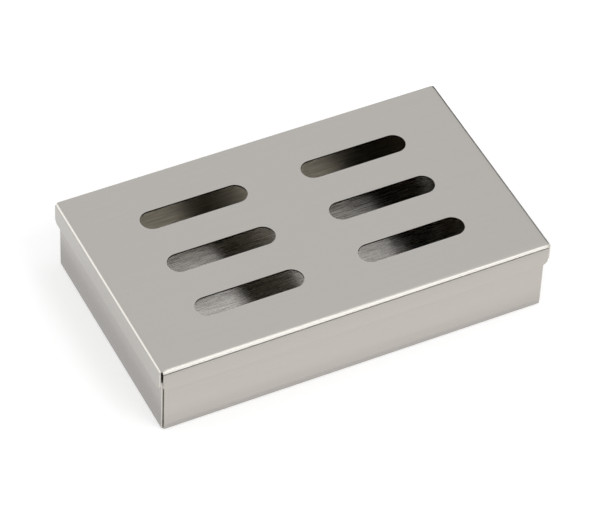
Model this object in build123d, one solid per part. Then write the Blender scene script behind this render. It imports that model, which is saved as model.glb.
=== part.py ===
from build123d import *
import os
from math import sqrt

# Smoker box: an open tray and a loose slotted lid, each folded from one blank of stainless sheet.
# Millimetres, +Z up, X along the long sides, -Y at the front. The origin is the middle of the tray's
# underside, where the box stands on the grill. The lid is modelled closed.

# Sheet
sheet = 0.8                   # thickness of both blanks

# Lid
lid_length = 200.0            # over the short flanges, along X
lid_width = 120.0             # over the long flanges, along Y
lid_depth = 12.0              # from the lid's top face to the lower edge of its flanges
lid_bend = 1.2                # inner radius of the lid's folds
long_flange_setback = 1.5     # the long flanges end this far inside the lid's short sides
short_flange_setback = 1.3    # the short flanges end this far inside the lid's long sides
lid_corner = 2.5              # radius of the flanges' lower corners

# Smoke slots
slot_length = 54.3            # end to end
slot_width = 11.9
slot_columns = 2
slot_rows = 3
column_spacing = 83.3         # centre to centre, along X
row_spacing = 30.3            # centre to centre, along Y

# Fit of the lid over the tray
clearance_x = 1.05            # short walls to short flanges, each side
clearance_y = 0.65            # long walls to long flanges, each side
seat_clearance = 0.05         # rim to lid, where the lid comes to rest

# Tray
tray_height = 39.2            # from the underside to the rim
tray_bend = 0.3               # inner radius of the tray's folds
tray_corner = 1.0             # radius of the corners of the walls' rims
long_wall_setback = 1.0       # the long walls end this far inside the tray's short sides
short_wall_setback = 1.3      # the short walls end this far inside the tray's long sides

# The tray fits inside the lid's flanges.
tray_length = lid_length - 2 * (sheet + clearance_x)
tray_width = lid_width - 2 * (sheet + clearance_y)

# The rim stands so close to the flanges that it meets the inside of the lid's folds, a little below
# the flat of the lid: that is where the lid comes to rest.
seat_rise = max(
    lid_bend - sqrt(lid_bend**2 - max(lid_bend - clearance, 0) ** 2)
    for clearance in (clearance_x, clearance_y)
)
lid_top = tray_height + seat_rise + seat_clearance + sheet


def fold(inner_radius, reach, length, corner_radius):
    """A quarter bend and the flat leg after it, as a bar along Y.

    The sheet comes in flat along +X with its outer face at Z = 0. It starts to bend down at X = 0
    and its leg ends at Z = -reach, with its two free corners rounded.
    """
    outer_radius = inner_radius + sheet
    diagonal = sqrt(0.5)
    with BuildPart() as bar:
        with BuildSketch(Plane.XZ):
            with BuildLine():
                ThreePointArc(
                    (0, 0),
                    (outer_radius * diagonal, outer_radius * (diagonal - 1)),
                    (outer_radius, -outer_radius),
                )
                Polyline(
                    (outer_radius, -outer_radius),
                    (outer_radius, -reach),
                    (inner_radius, -reach),
                    (inner_radius, -outer_radius),
                )
                ThreePointArc(
                    (inner_radius, -outer_radius),
                    (inner_radius * diagonal, inner_radius * diagonal - outer_radius),
                    (0, -sheet),
                )
                Line((0, -sheet), (0, 0))
            make_face()
        extrude(amount=length / 2, both=True)
        corners = bar.edges().filter_by(Axis.X).group_by(Axis.Z)[0]
        fillet(corners, corner_radius)
    return bar.part


def folded_sheet(length, width, depth, inner_radius, corner_radius, long_setback, short_setback):
    """A flat sheet with its four edges folded down, its upper face at Z = 0.

    The folded edges along X end long_setback inside the short sides, and those along Y end
    short_setback inside the long sides, which leaves the corners open.
    """
    outer_radius = inner_radius + sheet
    flat_length = length - 2 * outer_radius
    flat_width = width - 2 * outer_radius
    body = Pos(0, 0, -sheet / 2) * Box(flat_length, flat_width, sheet)
    long_edge = fold(inner_radius, depth, length - 2 * long_setback, corner_radius)
    short_edge = fold(inner_radius, depth, width - 2 * short_setback, corner_radius)
    for turn in (0, 180):
        body += Rot(0, 0, turn) * Pos(flat_length / 2, 0, 0) * short_edge
        body += Rot(0, 0, turn + 90) * Pos(flat_width / 2, 0, 0) * long_edge
    return body


def make_lid():
    """The loose cover: a shallow folded cap with rows of smoke slots."""
    cap = folded_sheet(
        length=lid_length,
        width=lid_width,
        depth=lid_depth,
        inner_radius=lid_bend,
        corner_radius=lid_corner,
        long_setback=long_flange_setback,
        short_setback=short_flange_setback,
    )
    slots = Sketch() + [
        place * SlotOverall(slot_length, slot_width)
        for place in GridLocations(column_spacing, row_spacing, slot_columns, slot_rows)
    ]
    cap -= extrude(slots, amount=sheet, both=True)
    return Pos(0, 0, lid_top) * cap


def make_tray():
    """The open box that holds the chips, its corners left as narrow open seams."""
    return Rot(180, 0, 0) * folded_sheet(
        length=tray_length,
        width=tray_width,
        depth=tray_height,
        inner_radius=tray_bend,
        corner_radius=tray_corner,
        long_setback=long_wall_setback,
        short_setback=short_wall_setback,
    )


os.makedirs("parts", exist_ok=True)
for name, make in (("tray", make_tray), ("lid", make_lid)):
    export_step(make(), f"parts/{name}.step")
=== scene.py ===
"""Smoker box: a stainless tray and its loose slotted lid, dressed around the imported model.

Both pieces are folded from thin sheet. Each one is laid out flat first, as a blank with open
corners and slots, and every point of the blank is then folded into place by formula. Everything
is in metres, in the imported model's own frame: +Z up, X along the long sides, -Y at the front.
"""

import logging
import math
from dataclasses import dataclass, field
from enum import Enum
from typing import Any

import bpy
import numpy as np
from mathutils import Matrix, Vector


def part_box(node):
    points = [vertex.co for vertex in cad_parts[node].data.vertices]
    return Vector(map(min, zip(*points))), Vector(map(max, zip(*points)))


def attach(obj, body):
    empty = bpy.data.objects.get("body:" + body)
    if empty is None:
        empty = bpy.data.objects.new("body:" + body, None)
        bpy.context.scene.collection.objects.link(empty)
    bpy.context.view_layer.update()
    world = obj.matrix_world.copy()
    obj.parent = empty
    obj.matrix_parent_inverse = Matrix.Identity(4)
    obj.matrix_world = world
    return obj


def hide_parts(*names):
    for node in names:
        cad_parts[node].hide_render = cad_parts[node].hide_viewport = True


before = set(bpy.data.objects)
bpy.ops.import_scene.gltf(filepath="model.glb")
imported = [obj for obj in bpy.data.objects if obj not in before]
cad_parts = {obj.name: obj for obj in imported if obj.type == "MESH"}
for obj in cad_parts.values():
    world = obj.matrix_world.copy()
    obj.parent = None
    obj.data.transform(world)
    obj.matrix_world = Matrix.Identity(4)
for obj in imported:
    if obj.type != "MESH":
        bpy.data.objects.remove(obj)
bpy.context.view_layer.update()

LOG = logging.getLogger("smoker_box")
MM = 0.001
QUARTER_TURN = math.pi / 2
WHITE = "ffffff"

# The UV map that holds each point's place on the flat blank, in metres.
FLAT_MAP = "flat_pattern"

# The lines of a blank are placed to this many decimals of a metre.
DECIMALS = 9

# Points of a blank that are closer than this are one point.
WELD = 1e-7

Array = np.ndarray
Point = tuple[float, float, float]
Tree = bpy.types.NodeTree
Socket = bpy.types.NodeSocket


def linear(hex_colour: str) -> tuple[float, float, float, float]:
    """Turns an sRGB hex colour into linear red, green, blue and alpha.

    A channel up to 0.04045 is divided by 12.92. A higher one has 0.055 added, is divided by 1.055
    and raised to the power 2.4.

    Args:
        hex_colour: Six hex digits, such as "b3b0ab".

    Returns:
        The linear colour, with an alpha of 1.
    """
    srgb = [int(hex_colour[i : i + 2], 16) / 255 for i in (0, 2, 4)]
    red, green, blue = (c / 12.92 if c <= 0.04045 else ((c + 0.055) / 1.055) ** 2.4 for c in srgb)
    return red, green, blue, 1.0


def add_node(
    tree: Tree, kind: str, inputs: dict[Any, Any] | None = None, **settings: Any
) -> bpy.types.Node:
    """Adds a shader node with its settings and its inputs.

    Args:
        tree: The node tree that gets the node.
        kind: The node's type name.
        inputs: Socket name or number to a value, or to the output socket that feeds it.
        **settings: The node's own attributes.

    Returns:
        The new node.
    """
    made = tree.nodes.new(kind)
    for name, value in settings.items():
        setattr(made, name, value)
    for socket, value in (inputs or {}).items():
        if isinstance(value, Socket):
            tree.links.new(value, made.inputs[socket])
        else:
            made.inputs[socket].default_value = value
    return made


def new_material(name: str) -> tuple[bpy.types.Material, Tree]:
    """Makes a material with an empty node tree.

    Args:
        name: The finish that the material is named for.

    Returns:
        The material and its node tree.
    """
    material = bpy.data.materials.new(name)
    material.use_nodes = True
    material.node_tree.nodes.clear()
    return material, material.node_tree


def link_object(name: str, data: Any) -> bpy.types.Object:
    """Makes an object and puts it in the scene.

    Args:
        name: The object's name.
        data: Its mesh, lamp or camera.

    Returns:
        The object.
    """
    made = bpy.data.objects.new(name, data)
    bpy.context.collection.objects.link(made)
    return made


def link_quad(name: str, corners: Array, material: bpy.types.Material) -> bpy.types.Object:
    """Makes a flat four-cornered object and puts it in the scene.

    Args:
        name: The object's name.
        corners: Its corners in order, an array of shape (4, 3).
        material: Its finish.

    Returns:
        The object.
    """
    mesh = bpy.data.meshes.new(name)
    mesh.from_pydata(corners, [], [(0, 1, 2, 3)])
    mesh.materials.append(material)
    return link_object(name, mesh)


# Finishes


class GrainLayer(Enum):
    """One layer of the brushed grain: how wide and how long its scratches are, in metres."""

    FINE = (0.35 * MM, 14 * MM)
    MEDIUM = (0.8 * MM, 16 * MM)
    COARSE = (1.6 * MM, 55 * MM)


@dataclass(frozen=True)
class SheetFace:
    """One face of cold rolled stainless sheet, with its grain along the blank's length.

    The eye gets a warm grey, soft reflections that stretch across the grain, and streaks along it.
    The real scratches are about 0.1 mm apart, too fine to show at the render's half millimetre a
    pixel, so the fine layer is drawn at 0.35 mm.
    """

    name: str
    colour: str
    streak_colour: str
    roughness: tuple[float, float]
    relief: float
    anisotropy: float = 1.0
    streaks: GrainLayer = GrainLayer.MEDIUM
    # The noise's values that reach the two ends of the streaks' colours and of the roughness.
    streak_band: tuple[float, float] = (0.35, 0.65)
    scratch_band: tuple[float, float] = (0.3, 0.7)
    # How much finer noise is laid over each layer, and how strongly.
    noise_detail: float = 3.0
    noise_roughness: float = 0.6
    # In turns from the tangent: reflections stretch across the grain.
    stretch_turn: float = 0.25

    def grain(self, tree: Tree, layer: GrainLayer) -> Socket:
        """Adds one layer of grain, as noise stretched along the blank.

        Args:
            tree: The material's node tree.
            layer: The scratches' width and length.

        Returns:
            The output socket.
        """
        width, length = layer.value
        flat = add_node(tree, "ShaderNodeUVMap", uv_map=FLAT_MAP)
        stretched = add_node(
            tree,
            "ShaderNodeMapping",
            {"Vector": flat.outputs["UV"], "Scale": (1 / length, 1 / width, 1.0)},
            vector_type="POINT",
        )
        noise = add_node(
            tree,
            "ShaderNodeTexNoise",
            {
                "Vector": stretched.outputs["Vector"],
                "Scale": 1.0,
                "Detail": self.noise_detail,
                "Roughness": self.noise_roughness,
            },
            noise_dimensions="2D",
        )
        return noise.outputs["Fac"]

    def material(self) -> bpy.types.Material:
        """Builds the finish on the blank's flat coordinates, so that the grain follows the folds.

        Returns:
            The material.
        """
        material, tree = new_material(self.name)
        scratches = self.grain(tree, GrainLayer.FINE)
        streaks = add_node(
            tree,
            "ShaderNodeMapRange",
            {
                "Value": self.grain(tree, self.streaks),
                "From Min": self.streak_band[0],
                "From Max": self.streak_band[1],
            },
        )
        colour = add_node(
            tree,
            "ShaderNodeMix",
            {
                "Factor": streaks.outputs["Result"],
                "A": linear(self.streak_colour),
                "B": linear(self.colour),
            },
            data_type="RGBA",
        )
        roughness = add_node(
            tree,
            "ShaderNodeMapRange",
            {
                "Value": scratches,
                "From Min": self.scratch_band[0],
                "From Max": self.scratch_band[1],
                "To Min": self.roughness[0],
                "To Max": self.roughness[1],
            },
        )
        bump = add_node(
            tree, "ShaderNodeBump", {"Height": scratches, "Distance": self.relief, "Strength": 1.0}
        )
        along_grain = add_node(
            tree, "ShaderNodeTangent", direction_type="UV_MAP", uv_map=FLAT_MAP
        )
        steel = add_node(
            tree,
            "ShaderNodeBsdfPrincipled",
            {
                "Base Color": colour.outputs["Result"],
                "Metallic": 1.0,
                "Roughness": roughness.outputs["Result"],
                "Anisotropic": self.anisotropy,
                "Anisotropic Rotation": self.stretch_turn,
                "Tangent": along_grain.outputs["Tangent"],
                "Normal": bump.outputs["Normal"],
            },
        )
        add_node(tree, "ShaderNodeOutputMaterial", {"Surface": steel.outputs["BSDF"]})
        return material


# The lid's upper face: smooth to the eye, with a soft sheen.
SATIN_LID = SheetFace(
    name="satin_stainless_lid",
    colour="b4b1ac",
    streak_colour="b3b0ab",
    roughness=(0.22, 0.25),
    relief=0.0006 * MM,
    anisotropy=0.5,
    streaks=GrainLayer.COARSE,
)

# The tray's outer face: the same finish, a touch darker and warmer than the lid's, which leaves a
# faint step in tone under the lid's flange.
SATIN_TRAY = SheetFace(
    name="satin_stainless_tray",
    colour="b2aeaa",
    streak_colour="b1ada9",
    roughness=(0.22, 0.25),
    relief=0.0006 * MM,
    anisotropy=0.5,
    streaks=GrainLayer.COARSE,
)

# The tray's floor, seen through the slots: painted almost white, far lighter than the steel
# elsewhere, a painted light that brightens what shows through the slots; its scratches smear light
# and show as streaks.
PAINTED_LIGHT_FLOOR = SheetFace(
    name="brushed_floor_painted_light",
    colour="fefaf4",
    streak_colour="d6d2cc",
    roughness=(0.2, 0.38),
    relief=0.004 * MM,
)

# The inside of its walls, seen through the back slots: a little rougher and warmer than the floor,
# and painted darker, a painted shade that holds down the lamps' light on the back wall.
SHADED_WALLS = SheetFace(
    name="painted_shade_walls",
    colour="b6b0a3",
    streak_colour="9e988b",
    roughness=(0.26, 0.38),
    relief=0.006 * MM,
)

# The lid's underside: painted dark grey, a painted shade, so that the box stays dark under it.
SHADED_UNDERSIDE = SheetFace(
    name="painted_shade_underside",
    colour="6c6861",
    streak_colour="68645d",
    roughness=(0.3, 0.35),
    relief=0.003 * MM,
)


@dataclass(frozen=True)
class ShearedEdge:
    """The cut edge of stainless sheet: sheared round the blank, and punched where the slots are.

    The eye gets a thin line a little brighter than the faces round the outside. The slots' walls
    are painted near black, a painted shade that outlines each slot, and they stay dark where the
    eye grazes them.
    """

    name: str = "sheared_stainless_edge"
    colour: str = "c4c1bc"
    grazing_colour: str = WHITE
    slot_shade_colour: str = "1a1917"
    punched_reach: tuple[float, float] = (80 * MM, 45 * MM)
    roughness: float = 0.15
    mark_spacing: float = 0.5 * MM
    mark_detail: float = 2.0
    mark_relief: float = 0.002 * MM

    def punched(self, tree: Tree, place: Socket) -> Socket:
        """Is 1 on the slots' walls, which lie within punched_reach of the middle, otherwise 0.

        Args:
            tree: The node tree that uses it.
            place: The Object coordinates.

        Returns:
            The output socket.
        """
        away = add_node(tree, "ShaderNodeVectorMath", {0: place}, operation="ABSOLUTE")
        sides = add_node(tree, "ShaderNodeSeparateXYZ", {"Vector": away.outputs["Vector"]}).outputs
        in_length, in_width = (
            add_node(tree, "ShaderNodeMath", {0: sides[axis], 1: reach}, operation="LESS_THAN")
            for axis, reach in zip("XY", self.punched_reach)
        )
        in_both = add_node(
            tree,
            "ShaderNodeMath",
            {0: in_length.outputs["Value"], 1: in_width.outputs["Value"]},
            operation="MULTIPLY",
        )
        return in_both.outputs["Value"]

    def material(self) -> bpy.types.Material:
        """Builds the finish: fine marks of the cut, on Object coordinates.

        Returns:
            The material.
        """
        material, tree = new_material(self.name)
        place = add_node(tree, "ShaderNodeTexCoord").outputs["Object"]
        marks = add_node(
            tree,
            "ShaderNodeTexNoise",
            {"Vector": place, "Scale": 1 / self.mark_spacing, "Detail": self.mark_detail},
        )
        bump = add_node(
            tree,
            "ShaderNodeBump",
            {"Height": marks.outputs["Fac"], "Distance": self.mark_relief, "Strength": 1.0},
        )
        punched = self.punched(tree, place)
        # On the slots' walls the colour and the grazing sheen both go near black: a painted shade.
        colour, grazing = (
            add_node(
                tree,
                "ShaderNodeMix",
                {"Factor": punched, "A": linear(sheared), "B": linear(self.slot_shade_colour)},
                data_type="RGBA",
            )
            for sheared in (self.colour, self.grazing_colour)
        )
        steel = add_node(
            tree,
            "ShaderNodeBsdfPrincipled",
            {
                "Base Color": colour.outputs["Result"],
                "Metallic": 1.0,
                "Specular Tint": grazing.outputs["Result"],
                "Roughness": self.roughness,
                "Normal": bump.outputs["Normal"],
            },
        )
        add_node(tree, "ShaderNodeOutputMaterial", {"Surface": steel.outputs["BSDF"]})
        return material


# Flat blanks


def spaced(breaks: list[float], step: float) -> Array:
    """Rules lines through every break, evenly spaced between and no wider apart than the step.

    Args:
        breaks: Rising positions that must each have a line.
        step: The widest spacing allowed.

    Returns:
        The lines' positions, rising.
    """
    spans = zip(breaks[:-1], breaks[1:])
    runs = [np.linspace(a, b, max(2, math.ceil((b - a) / step) + 1)) for a, b in spans]
    return np.unique(np.concatenate(runs).round(DECIMALS))


def between(lines: Array, low: float, high: float) -> Array:
    """Picks the lines from low to high, both ends included."""
    return lines[(lines > low - WELD) & (lines < high + WELD)]


@dataclass
class Blank:
    """A sheet's flat pattern, gathered as patches of quads that share points on their borders."""

    points: list[Array] = field(default_factory=list)
    quads: list[Array] = field(default_factory=list)
    count: int = 0
    corner_steps: int = 8
    # How the rings round a slot share out the way from its edge to the border of its cell.
    ring_shares: tuple[float, ...] = (0, 0.03, 0.1, 0.25, 0.5, 0.75, 1.0)

    def add(self, points: Array) -> None:
        """Adds a patch.

        Args:
            points: Flat positions in rows and columns, an array of shape (rows, columns, 2). Its
                quads join each point with the next one in its row and in its column. They face up
                where a step to the next row and then one to the next column make a left turn.
        """
        rows, columns, _ = points.shape
        index = np.arange(rows * columns).reshape(rows, columns) + self.count
        corners = (index[:-1, :-1], index[1:, :-1], index[1:, 1:], index[:-1, 1:])
        self.points.append(points.reshape(-1, 2))
        self.quads.append(np.stack(corners, axis=-1).reshape(-1, 4))
        self.count += rows * columns

    def add_grid(self, u: Array, v: Array) -> None:
        """Adds the rectangle of points that the lines u and v cross in."""
        self.add(np.stack(np.meshgrid(u, v, indexing="ij"), axis=-1))

    def add_slotted(self, u: Array, v: Array, slot_length: float, slot_width: float) -> None:
        """Adds a rectangle with a round-ended slot in its middle, as rings round the slot.

        A point on the rectangle's border goes to the nearest point of the slot's middle line, and
        the slot's outline is met half a slot width before it. The rings share out the way between.

        Args:
            u: The lines that cross the rectangle's long sides.
            v: The lines that cross its short sides.
            slot_length: The slot's length, end to end.
            slot_width: The slot's width.
        """
        border = np.concatenate(
            [
                np.stack([u, np.full_like(u, v[0])], axis=-1)[:-1],
                np.stack([np.full_like(v, u[-1]), v], axis=-1)[:-1],
                np.stack([u[::-1], np.full_like(u, v[-1])], axis=-1)[:-1],
                np.stack([np.full_like(v, u[0]), v[::-1]], axis=-1),
            ]
        )
        middle = np.array([(u[0] + u[-1]) / 2, (v[0] + v[-1]) / 2])
        reach = (slot_length - slot_width) / 2
        spine = np.zeros_like(border)
        spine[:, 0] = np.clip(border[:, 0] - middle[0], -reach, reach)
        spine += middle
        away = border - spine
        edge = spine + away / np.linalg.norm(away, axis=1, keepdims=True) * slot_width / 2
        shares = np.array(self.ring_shares)[:, None, None]
        # The order of the rows is reversed so that the quads face up.
        self.add(np.swapaxes(edge + (border - edge) * shares, 0, 1)[::-1])

    def add_flap(self, along: Array, out: Array, corner: float, turned: bool, side: int) -> None:
        """Adds a flap on one side of the blank, with its two free corners rounded.

        A row at distance d from the flap's end is narrower at each end by
        r - sqrt(r^2 - (r - d)^2) where d is under the corner radius r, which makes the outline a
        quarter circle.

        Args:
            along: Lines along the side that carries the flap.
            out: Lines out to where the corners start, from the border that the flap shares.
            corner: The radius of the free corners. The flap ends this far past the last of out.
            turned: Whether the flap goes out along u instead of along v.
            side: 1 for the positive side, -1 for the negative one.
        """
        angle = np.linspace(0, QUARTER_TURN, self.corner_steps + 1)[1:]
        rows = np.concatenate([out, out[-1] + corner * np.sin(angle)])
        inset = np.concatenate([np.zeros_like(out), corner * (1 - np.cos(angle))])
        middle = (along[0] + along[-1]) / 2
        half = (along[-1] - along[0]) / 2
        across = middle + (along - middle) * (1 - inset / half)[:, None]
        outward = np.broadcast_to(side * rows[:, None], across.shape)
        # Two of the four sides need their rows reversed for the quads to face up.
        if turned:
            self.add(np.stack([outward, across], axis=-1)[::side])
        else:
            self.add(np.stack([across, outward], axis=-1)[::-side])

    def welded(self) -> tuple[Array, Array]:
        """Joins the patches where they share points.

        Returns:
            The flat points, and the quads as indices into them.
        """
        points = np.concatenate(self.points)
        _, first, index = np.unique(
            np.round(points / WELD).astype(np.int64), axis=0, return_index=True, return_inverse=True
        )
        return points[first], index.reshape(-1)[np.concatenate(self.quads)]


@dataclass(frozen=True)
class Bend:
    """A quarter bend with a flat leg after it, measured along the sheet's outer face."""

    start: float
    radius: float

    @property
    def end(self) -> float:
        """Where the bend is over and the leg starts."""
        return self.start + self.radius * QUARTER_TURN

    def flat_at(self, drop: float) -> float:
        """The flat position on the leg whose folded place is that far from the flat face."""
        return self.end + drop - self.radius

    def fold(self, s: Array) -> tuple[Array, Array]:
        """Folds flat positions: straight to the start, round the arc, then straight down the leg.

        With a the angle turned, held between 0 and a quarter turn, a point lies out by the start
        plus radius * sin(a), and down by radius * (1 - cos(a)) plus its way along the leg.

        Args:
            s: Flat positions, either side of zero.

        Returns:
            The folded positions on the same axis, and how far each point has come down.
        """
        past = np.abs(s) - self.start
        turned = np.clip(past / self.radius, 0, QUARTER_TURN)
        leg = np.maximum(np.abs(s) - self.end, 0)
        out = np.minimum(np.abs(s), self.start) + self.radius * np.sin(turned)
        return np.sign(s) * out, self.radius * (1 - np.cos(turned)) + leg


# Pieces


class FinishPlace(Enum):
    """The places of a piece's finishes in its list of materials.

    The list holds them twice, first for the flat middle and then for the walls, so that the inner
    face of the walls can differ.
    """

    OUTSIDE = 0
    INSIDE = 1
    CUT_EDGE = 2


@dataclass
class FoldedSheet:
    """A piece folded from one blank: its mesh is the outer face, which modifiers thicken.

    bend_radius is the outer radius of its folds, and corner is the radius of its walls' free
    corners. The walls along X end long_setback inside the short sides, and those along Y end
    short_setback inside the long sides, which leaves the corners open.
    """

    name: str
    node: str
    body: str
    outside: bpy.types.Material
    inside: bpy.types.Material
    inside_walls: bpy.types.Material
    cut_edge: bpy.types.Material
    bend_radius: float
    corner: float
    long_setback: float
    short_setback: float
    folds_down: bool
    sheet: float = 0.8 * MM
    edge_round: float = 0.15 * MM
    edge_segments: int = 2
    sharp_angle: float = math.radians(50)
    mesh_step: float = 2.4 * MM
    bend_step: float = 0.25 * MM

    def __post_init__(self) -> None:
        """Reads the piece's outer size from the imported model."""
        self.low, self.high = (Vector(corner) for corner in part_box(self.node))
        half_length = (self.high.x - self.low.x) / 2
        half_width = (self.high.y - self.low.y) / 2
        self.depth = self.high.z - self.low.z
        self.bend_u = Bend(half_length - self.bend_radius, self.bend_radius)
        self.bend_v = Bend(half_width - self.bend_radius, self.bend_radius)
        self.edge_u = half_length - self.long_setback
        self.edge_v = half_width - self.short_setback

    def rulings(self) -> tuple[list[float], list[float]]:
        """Finds where the flat middle must have lines: at its ends and where its folds start.

        Returns:
            The positions across u and across v, rising.
        """
        ends = []
        for edge, bend in ((self.edge_u, self.bend_u), (self.edge_v, self.bend_v)):
            inner = [bend.start] if bend.start < edge else []
            ends.append([-edge, *(-i for i in inner), *inner, edge])
        return ends[0], ends[1]

    def add_middle(self, blank: Blank, u: Array, v: Array) -> None:
        """Adds the flat middle of the blank, the rectangle that the lines u and v rule."""
        blank.add_grid(u, v)

    def blank(self) -> Blank:
        """Lays out the middle and the four flaps round it, which leave the corners open.

        Returns:
            The flat pattern.
        """
        lines_u, lines_v = (spaced(breaks, self.mesh_step) for breaks in self.rulings())
        blank = Blank()
        self.add_middle(blank, lines_u, lines_v)
        for bend, edge, along, turned in (
            (self.bend_u, self.edge_u, lines_v, True),
            (self.bend_v, self.edge_v, lines_u, False),
        ):
            # Where the middle ends before the bend starts, the flap is flat for that stretch.
            start = [bend.start] if bend.start > edge else []
            curve = spaced([edge, *start, bend.end], self.bend_step)
            leg = spaced([bend.end, bend.flat_at(self.depth) - self.corner], self.mesh_step)
            for side in (-1, 1):
                blank.add_flap(along, np.concatenate([curve[:-1], leg]), self.corner, turned, side)
        return blank

    def folded(self, u: Array, v: Array) -> tuple[Array, Array, Array]:
        """Folds flat positions into place over the four bends.

        The bends along Y turn u into x, and those along X turn v into y. What both take away from
        the flat face is added up, and z is the flat face's height less or plus that.

        Args:
            u: Flat positions along X.
            v: Flat positions along Y.

        Returns:
            The folded x, y and z.
        """
        x, away_u = self.bend_u.fold(u)
        y, away_v = self.bend_v.fold(v)
        away = away_u + away_v
        return x, y, self.high.z - away if self.folds_down else self.low.z + away

    def outer_face(self) -> bpy.types.Mesh:
        """Makes the mesh of the outer face, with its flat pattern and its finishes.

        Returns:
            The mesh.
        """
        points, quads = self.blank().welded()
        # A sheet that folds up has its outer face below, so its quads are turned over.
        if not self.folds_down:
            quads = quads[:, ::-1]
        mesh = bpy.data.meshes.new(self.name)
        mesh.from_pydata(np.stack(self.folded(points[:, 0], points[:, 1]), axis=-1), [], quads)
        flat_map = mesh.uv_layers.new(name=FLAT_MAP)
        flat_map.data.foreach_set("uv", points[quads.reshape(-1)].astype(np.float32).reshape(-1))
        mesh.polygons.foreach_set("use_smooth", np.ones(len(quads), dtype=bool))
        for inside in (self.inside, self.inside_walls):
            for material in (self.outside, inside, self.cut_edge):
                mesh.materials.append(material)
        middle = np.abs(points[quads].mean(axis=1))
        on_wall = (middle[:, 0] > self.bend_u.start) | (middle[:, 1] > self.bend_v.start)
        # The walls use the second set of finishes.
        mesh.polygons.foreach_set("material_index", on_wall.astype(np.int32) * len(FinishPlace))
        LOG.info("%s: %d points, %d quads on its outer face", self.name, len(points), len(quads))
        return mesh

    def build(self) -> bpy.types.Object:
        """Makes the piece: its outer face, thickened inwards, with the cut edges rounded.

        Returns:
            The finished piece, riding on its body.
        """
        piece = link_object(self.name, self.outer_face())
        thickness = piece.modifiers.new("sheet_thickness", "SOLIDIFY")
        thickness.thickness = self.sheet
        thickness.offset = -1.0
        thickness.material_offset = FinishPlace.INSIDE.value
        thickness.material_offset_rim = FinishPlace.CUT_EDGE.value
        rounding = piece.modifiers.new("deburred_edges", "BEVEL")
        rounding.width = self.edge_round
        rounding.segments = self.edge_segments
        rounding.limit_method = "ANGLE"
        rounding.angle_limit = self.sharp_angle
        rounding.harden_normals = True
        rounding.material = FinishPlace.CUT_EDGE.value
        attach(piece, self.body)
        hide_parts(self.node)
        return piece


@dataclass
class Lid(FoldedSheet):
    """The loose cover: a shallow cap with six smoke slots."""

    bend_radius: float = 2.0 * MM
    corner: float = 2.5 * MM
    long_setback: float = 1.5 * MM
    short_setback: float = 1.3 * MM
    folds_down: bool = True
    slot_length: float = 54.3 * MM
    slot_width: float = 11.9 * MM
    slot_columns: tuple[float, ...] = (-41.65 * MM, 41.65 * MM)
    slot_rows: tuple[float, ...] = (-30.3 * MM, 0.0, 30.3 * MM)
    slot_margin: float = 6 * MM
    centre_slack: float = 0.01 * MM

    def rulings(self) -> tuple[list[float], list[float]]:
        """Adds the borders of the cells that hold the slots.

        Returns:
            The positions across u and across v, rising.
        """
        ends_u, ends_v = super().rulings()
        half_length = self.slot_length / 2 + self.slot_margin
        half_width = (self.slot_rows[1] - self.slot_rows[0]) / 2
        cells_u = {round(c + s * half_length, DECIMALS) for c in self.slot_columns for s in (-1, 1)}
        cells_v = {round(r + s * half_width, DECIMALS) for r in self.slot_rows for s in (-1, 1)}
        return sorted({*ends_u, *cells_u}), sorted({*ends_v, *cells_v})

    def centred(self, low: float, high: float, centres: tuple[float, ...]) -> bool:
        """Tells whether the middle between low and high is one of the slots' centres."""
        return bool(np.isclose(centres, (low + high) / 2, atol=self.centre_slack).any())

    def add_middle(self, blank: Blank, u: Array, v: Array) -> None:
        """Adds the flat middle cell by cell, six of them with a slot.

        Args:
            blank: The pattern that gets it.
            u: The lines across u.
            v: The lines across v.
        """
        breaks_u, breaks_v = self.rulings()
        for low_u, high_u in zip(breaks_u[:-1], breaks_u[1:]):
            in_column = self.centred(low_u, high_u, self.slot_columns)
            for low_v, high_v in zip(breaks_v[:-1], breaks_v[1:]):
                in_row = self.centred(low_v, high_v, self.slot_rows)
                cell = between(u, low_u, high_u), between(v, low_v, high_v)
                if in_column and in_row:
                    blank.add_slotted(*cell, self.slot_length, self.slot_width)
                else:
                    blank.add_grid(*cell)


@dataclass
class Tray(FoldedSheet):
    """The open box for the chips, its corners left as narrow open seams."""

    bend_radius: float = 1.1 * MM
    corner: float = 1.0 * MM
    long_setback: float = 1.0 * MM
    short_setback: float = 1.3 * MM
    folds_down: bool = False


# Studio


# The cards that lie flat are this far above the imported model's base.
CARD_LIFT = 0.5 * MM


@dataclass(frozen=True)
class SoftBox:
    """A rectangular studio lamp, set by where it hangs and how bright its face looks."""

    name: str
    place: Point
    aim: Point
    size: tuple[float, float]
    brightness: float

    def build(self) -> bpy.types.Object:
        """Hangs the lamp. An area lamp's power is its face's brightness times its area times pi.

        Returns:
            The lamp.
        """
        lamp = bpy.data.lights.new(self.name, "AREA")
        lamp.shape = "RECTANGLE"
        lamp.size, lamp.size_y = self.size
        lamp.energy = self.brightness * self.size[0] * self.size[1] * math.pi
        made = link_object(self.name, lamp)
        made.location = self.place
        sight = Vector(self.aim) - Vector(self.place)
        made.rotation_euler = sight.to_track_quat("-Z", "Y").to_euler()
        return made


@dataclass(frozen=True)
class Card:
    """A card beside the box, which only the metal sees: its reflection shades the steel.

    It spans the two sides from one corner, so it lies flat on the table top or stands up on it.
    """

    name: str
    corner: Point
    side: Point
    other_side: Point
    brightness: float
    colour: str = WHITE

    def build(self) -> bpy.types.Object:
        """Sets up the card, hidden from the camera and without a shadow.

        Returns:
            The card.
        """
        material, tree = new_material(self.name)
        face = add_node(
            tree, "ShaderNodeEmission", {"Color": linear(self.colour), "Strength": self.brightness}
        )
        add_node(tree, "ShaderNodeOutputMaterial", {"Surface": face.outputs["Emission"]})
        corner, side, other_side = (np.array(v) for v in (self.corner, self.side, self.other_side))
        corners = [corner, corner + side, corner + side + other_side, corner + other_side]
        card = link_quad(self.name, np.array(corners), material)
        card.visible_camera = False
        card.visible_diffuse = False
        card.visible_shadow = False
        return card


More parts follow.
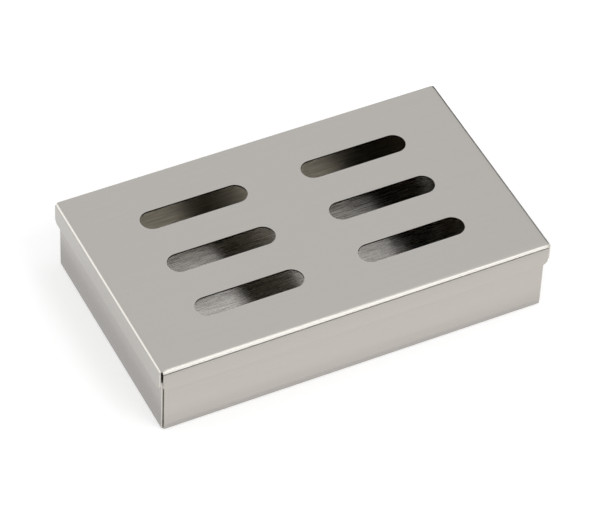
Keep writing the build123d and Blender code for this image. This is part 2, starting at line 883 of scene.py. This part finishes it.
@dataclass(frozen=True)
class Camera:
    """The photograph's viewpoint, worked out from the box's outline and its slots.

    Its angles are in degrees. off_axis is where the frame's origin lies beside the line of sight,
    to the right and down.
    """

    name: str = "photo_camera"
    azimuth: float = -28.007
    elevation: float = 45.695
    roll: float = 2.825
    distance: float = 1.7921
    focal_length: float = 227.2
    sensor_width: float = 36.0
    off_axis: tuple[float, float] = (-0.232 * MM, 9.205 * MM)
    farthest: float = 50.0

    def build(self) -> bpy.types.Object:
        """Sets up the camera: it looks from the azimuth and elevation, turned by the roll.

        Returns:
            The camera.
        """
        degrees = (self.azimuth, self.elevation, self.roll)
        azimuth, elevation, roll = (math.radians(angle) for angle in degrees)
        back = Vector(
            (
                math.sin(azimuth) * math.cos(elevation),
                -math.cos(azimuth) * math.cos(elevation),
                math.sin(elevation),
            )
        )
        level_right = Vector((0, 0, 1)).cross(back).normalized()
        level_up = back.cross(level_right)
        right = math.cos(roll) * level_right + math.sin(roll) * level_up
        up = math.cos(roll) * level_up - math.sin(roll) * level_right
        aside, down = self.off_axis
        place = self.distance * back - aside * right + down * up
        lens = bpy.data.cameras.new(self.name)
        lens.lens = self.focal_length
        lens.sensor_width = self.sensor_width
        lens.sensor_fit = "HORIZONTAL"
        lens.clip_end = self.farthest
        made = link_object(self.name, lens)
        turn = Matrix((right, up, back)).transposed().to_4x4()
        made.matrix_world = Matrix.Translation(place) @ turn
        bpy.context.scene.camera = made
        return made


@dataclass(frozen=True)
class Studio:
    """A white table top, soft lamps, cards that shade the steel, and a plain white surround."""

    floor_size: float = 12.0
    floor_drop: float = 0.05 * MM
    floor_colour: str = "ebebeb"
    floor_roughness: float = 0.5
    floor_lift: float = 0.4
    ambient: float = 0.7
    # Each lamp's name, place, aim, size and brightness.
    lamps: tuple[SoftBox, ...] = (
        SoftBox("front_soft_box", (0.43, -1.11, 0.85), (0.43, 0, 0), (0.8, 0.73), 1.15),
        SoftBox("high_soft_box", (0.48, -0.7, 1.21), (0.48, 0, 0), (0.7, 0.37), 1.9),
        SoftBox("overhead_strip", (0.385, 0.0, 1.4), (0.385, 0, 0), (0.26, 0.37), 2.8),
        SoftBox("low_front_strip", (0.7, -1.75, 0.25), (0, 0, 0), (0.8, 0.35), 2.5),
        SoftBox("left_strip", (-1.05, 0.9, 0.45), (0, 0, 0), (0.9, 0.9), 1.1),
    )
    # Each card's name, corner, two sides, brightness and colour.
    cards: tuple[Card, ...] = (
        Card("white_card", (-0.16, -0.102, CARD_LIFT), (0.32, 0, 0), (0, 0.036, 0), 1.21, "fffefb"),
        Card("pale_card", (-0.16, -0.066, CARD_LIFT), (0.32, 0, 0), (0, 0.005, 0), 1.11, "fffefb"),
        Card("black_card", (-0.3, -0.23, CARD_LIFT), (0.6, 0, 0), (0, 0.118, 0), 0.05),
        Card("grey_card", (-0.105, -0.062, CARD_LIFT), (0.0067, 0, 0), (0, 0.162, 0), 0.7),
        Card("black_flag", (0.6, 0.2, 0.0), (-0.23, 0.33, 0), (0, 0, 0.3), 0.05),
    )

    def shown_rays(self, tree: Tree) -> Socket:
        """Is 1 for rays from the camera and for those that metal or glass passes on, otherwise 0.

        Args:
            tree: The node tree that uses it.

        Returns:
            The output socket.
        """
        path = add_node(tree, "ShaderNodeLightPath").outputs
        seen = add_node(
            tree,
            "ShaderNodeMath",
            {0: path["Is Camera Ray"], 1: path["Is Glossy Ray"]},
            operation="MAXIMUM",
        )
        shown = add_node(
            tree,
            "ShaderNodeMath",
            {0: seen.outputs["Value"], 1: path["Is Transmission Ray"]},
            operation="MAXIMUM",
        )
        return shown.outputs["Value"]

    def build_floor(self) -> bpy.types.Object:
        """Lays the table top: pale paper under the lamps, lifted to white for rays that show it.

        Returns:
            The floor.
        """
        material, tree = new_material("white_paper")
        paper = add_node(
            tree,
            "ShaderNodeBsdfDiffuse",
            {"Color": linear(self.floor_colour), "Roughness": self.floor_roughness},
        )
        strength = add_node(
            tree,
            "ShaderNodeMath",
            {0: self.shown_rays(tree), 1: self.floor_lift},
            operation="MULTIPLY",
        )
        lift = add_node(
            tree,
            "ShaderNodeEmission",
            {"Color": linear(WHITE), "Strength": strength.outputs["Value"]},
        )
        both = add_node(
            tree, "ShaderNodeAddShader", {0: paper.outputs["BSDF"], 1: lift.outputs["Emission"]}
        )
        add_node(tree, "ShaderNodeOutputMaterial", {"Surface": both.outputs["Shader"]})
        half = self.floor_size / 2
        corners = np.array([(-half, -half), (half, -half), (half, half), (-half, half)])
        level = np.full(len(corners), -self.floor_drop)
        floor = link_quad("table_top", np.column_stack([corners, level]), material)
        return floor

    def build_surround(self) -> None:
        """Sets the world: an even ambient level, and plain white for the rays that show it."""
        world = bpy.data.worlds.new("white_surround")
        bpy.context.scene.world = world
        world.use_nodes = True
        tree = world.node_tree
        tree.nodes.clear()
        ambient, white = (
            add_node(tree, "ShaderNodeBackground", {"Color": linear(WHITE), "Strength": strength})
            for strength in (self.ambient, 1.0)
        )
        mixed = add_node(
            tree,
            "ShaderNodeMixShader",
            {
                0: self.shown_rays(tree),
                1: ambient.outputs["Background"],
                2: white.outputs["Background"],
            },
        )
        add_node(tree, "ShaderNodeOutputWorld", {"Surface": mixed.outputs["Shader"]})

    def build(self) -> None:
        """Sets up the table top, the surround, the lamps and the cards."""
        self.build_floor()
        self.build_surround()
        for piece in (*self.lamps, *self.cards):
            piece.build()
        bpy.context.scene.view_settings.view_transform = "Standard"


def main() -> None:
    """Builds the camera, the two pieces and the studio, and reports each piece."""
    logging.basicConfig(level=logging.INFO, format="%(name)s: %(message)s")
    Camera().build()
    edge = ShearedEdge().material()
    Tray(
        name="tray_sheet",
        node="tray",
        body="tray",
        outside=SATIN_TRAY.material(),
        inside=PAINTED_LIGHT_FLOOR.material(),
        inside_walls=SHADED_WALLS.material(),
        cut_edge=edge,
    ).build()
    # The lid's underside and the inner faces of its flanges carry the painted shade.
    underside = SHADED_UNDERSIDE.material()
    Lid(
        name="lid_sheet",
        node="lid",
        body="lid",
        outside=SATIN_LID.material(),
        inside=underside,
        inside_walls=underside,
        cut_edge=edge,
    ).build()
    Studio().build()


if __name__ == "__main__":
    main()
